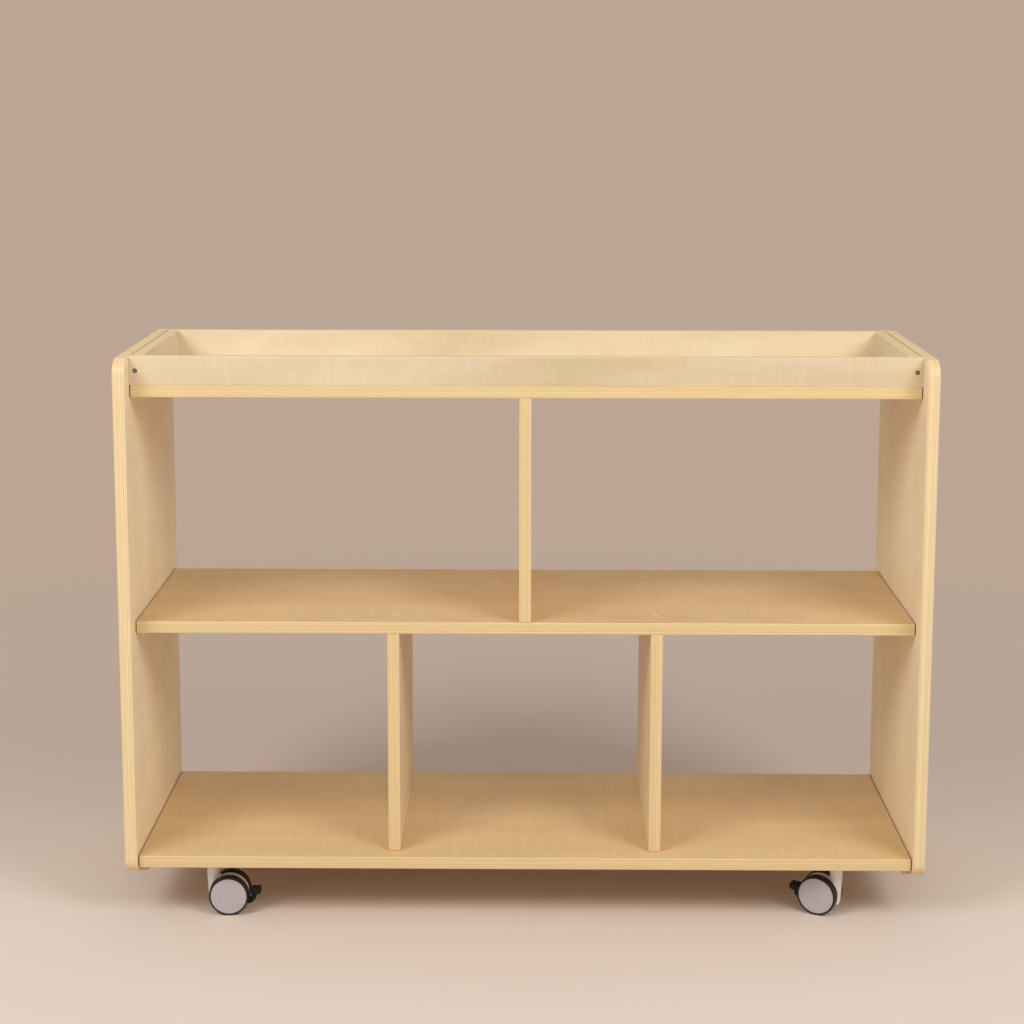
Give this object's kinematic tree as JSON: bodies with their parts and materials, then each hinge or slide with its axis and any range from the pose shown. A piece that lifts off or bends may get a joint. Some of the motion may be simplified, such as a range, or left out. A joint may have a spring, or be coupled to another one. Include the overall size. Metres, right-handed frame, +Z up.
{
  "type": "classroom shelf",
  "caption": "Low open plywood shelf with a railed tray on top, open compartments on two levels and twin-wheel casters with foot brakes.",
  "frame": {"origin": "on the floor, midway between the side panels and midway between their front and back edges", "axes": "+X to the right along the shelf's width, +Y to the back, +Z up; the open front with the braked casters faces -Y"},
  "size_m": [1.2, 0.4, 0.858],
  "materials": {
    "birch_plywood": "clear satin lacquer on birch plywood, plies visible on the edges",
    "birch_rail": "clear satin lacquer on pale birch faces",
    "cleat_wood": "planed solid wood, lacquered",
    "beech_dowel": "bare fluted dowel",
    "zinc_steel": "bright zinc plating",
    "bright_steel": "bright turned steel",
    "dark_screw": "black oxide",
    "housing_plastic": "satin light grey moulded nylon",
    "wheel_plastic": "satin grey moulded nylon",
    "tyre_rubber": "soft dark tread",
    "lever_plastic": "black moulded nylon"
  },
  "bodies": {
    "case": {"side_panel_left": "birch_plywood", "side_panel_right": "birch_plywood", "top_board": "birch_plywood", "middle_shelf": "birch_plywood", "bottom_shelf": "birch_plywood", "divider_upper": "birch_plywood", "divider_lower_left": "birch_plywood", "divider_lower_right": "birch_plywood", "tray_rail_front": "birch_rail", "tray_rail_back": "birch_rail", "tray_rail_left": "birch_rail", "tray_rail_right": "birch_rail", "cleat_left": "cleat_wood", "cleat_right": "cleat_wood", "connector_bolts": "zinc_steel", "barrel_nuts": "zinc_steel", "divider_screws": "zinc_steel", "tray_base_screws": "zinc_steel", "cleat_side_screws": "zinc_steel", "cleat_shelf_screws": "zinc_steel", "caster_screws": "zinc_steel", "wood_dowels": "beech_dowel", "tray_corner_screws": "dark_screw", "plate_front_left": "zinc_steel", "stem_front_left": "bright_steel", "plate_front_right": "zinc_steel", "stem_front_right": "bright_steel", "plate_rear_left": "zinc_steel", "stem_rear_left": "bright_steel", "plate_rear_right": "zinc_steel", "stem_rear_right": "bright_steel"},
    "caster_front_left": {"housing_front_left": "housing_plastic", "axle_front_left": "bright_steel", "brake_pin_left": "bright_steel"},
    "wheel_front_left_a": {"wheel_front_left_a": "wheel_plastic", "tyre_front_left_a": "tyre_rubber"},
    "wheel_front_left_b": {"wheel_front_left_b": "wheel_plastic", "tyre_front_left_b": "tyre_rubber"},
    "brake_left": {"brake_lever_left": "lever_plastic"},
    "caster_front_right": {"housing_front_right": "housing_plastic", "axle_front_right": "bright_steel", "brake_pin_right": "bright_steel"},
    "wheel_front_right_a": {"wheel_front_right_a": "wheel_plastic", "tyre_front_right_a": "tyre_rubber"},
    "wheel_front_right_b": {"wheel_front_right_b": "wheel_plastic", "tyre_front_right_b": "tyre_rubber"},
    "brake_right": {"brake_lever_right": "lever_plastic"},
    "caster_rear_left": {"housing_rear_left": "housing_plastic", "axle_rear_left": "bright_steel"},
    "wheel_rear_left_a": {"wheel_rear_left_a": "wheel_plastic", "tyre_rear_left_a": "tyre_rubber"},
    "wheel_rear_left_b": {"wheel_rear_left_b": "wheel_plastic", "tyre_rear_left_b": "tyre_rubber"},
    "caster_rear_right": {"housing_rear_right": "housing_plastic", "axle_rear_right": "bright_steel"},
    "wheel_rear_right_a": {"wheel_rear_right_a": "wheel_plastic", "tyre_rear_right_a": "tyre_rubber"},
    "wheel_rear_right_b": {"wheel_rear_right_b": "wheel_plastic", "tyre_rear_right_b": "tyre_rubber"}
  },
  "joints": [
    {"name": "swivel_front_left", "type": "hinge", "parent": "case", "child": "caster_front_left", "pos_m": [-0.475, -0.15, 0.06], "axis": [0, 0, 1], "continuous": true},
    {"name": "spin_front_left_a", "type": "hinge", "parent": "caster_front_left", "child": "wheel_front_left_a", "pos_m": [-0.45, -0.15, 0.03], "axis": [0, 1, 0], "continuous": true},
    {"name": "spin_front_left_b", "type": "hinge", "parent": "caster_front_left", "child": "wheel_front_left_b", "pos_m": [-0.45, -0.15, 0.03], "axis": [0, 1, 0], "continuous": true},
    {"name": "brake_left", "type": "hinge", "parent": "caster_front_left", "child": "brake_left", "pos_m": [-0.429, -0.15, 0.02], "axis": [0, 1, 0], "range_deg": [0, 15]},
    {"name": "swivel_front_right", "type": "hinge", "parent": "case", "child": "caster_front_right", "pos_m": [0.475, -0.15, 0.06], "axis": [0, 0, 1], "continuous": true},
    {"name": "spin_front_right_a", "type": "hinge", "parent": "caster_front_right", "child": "wheel_front_right_a", "pos_m": [0.45263, -0.13884, 0.03], "axis": [-0.4462, -0.8949, 0], "continuous": true},
    {"name": "spin_front_right_b", "type": "hinge", "parent": "caster_front_right", "child": "wheel_front_right_b", "pos_m": [0.45263, -0.13884, 0.03], "axis": [-0.4462, -0.8949, 0], "continuous": true},
    {"name": "brake_right", "type": "hinge", "parent": "caster_front_right", "child": "brake_right", "pos_m": [0.43383, -0.12948, 0.02], "axis": [-0.4462, -0.8949, 0], "range_deg": [0, 15]},
    {"name": "swivel_rear_left", "type": "hinge", "parent": "case", "child": "caster_rear_left", "pos_m": [-0.475, 0.15, 0.06], "axis": [0, 0, 1], "continuous": true},
    {"name": "spin_rear_left_a", "type": "hinge", "parent": "caster_rear_left", "child": "wheel_rear_left_a", "pos_m": [-0.45151, 0.15855, 0.03], "axis": [-0.342, 0.9397, 0], "continuous": true},
    {"name": "spin_rear_left_b", "type": "hinge", "parent": "caster_rear_left", "child": "wheel_rear_left_b", "pos_m": [-0.45151, 0.15855, 0.03], "axis": [-0.342, 0.9397, 0], "continuous": true},
    {"name": "swivel_rear_right", "type": "hinge", "parent": "case", "child": "caster_rear_right", "pos_m": [0.475, 0.15, 0.06], "axis": [0, 0, 1], "continuous": true},
    {"name": "spin_rear_right_a", "type": "hinge", "parent": "caster_rear_right", "child": "wheel_rear_right_a", "pos_m": [0.45085, 0.15647, 0.03], "axis": [-0.2588, -0.9659, 0], "continuous": true},
    {"name": "spin_rear_right_b", "type": "hinge", "parent": "caster_rear_right", "child": "wheel_rear_right_b", "pos_m": [0.45085, 0.15647, 0.03], "axis": [-0.2588, -0.9659, 0], "continuous": true}
  ]
}
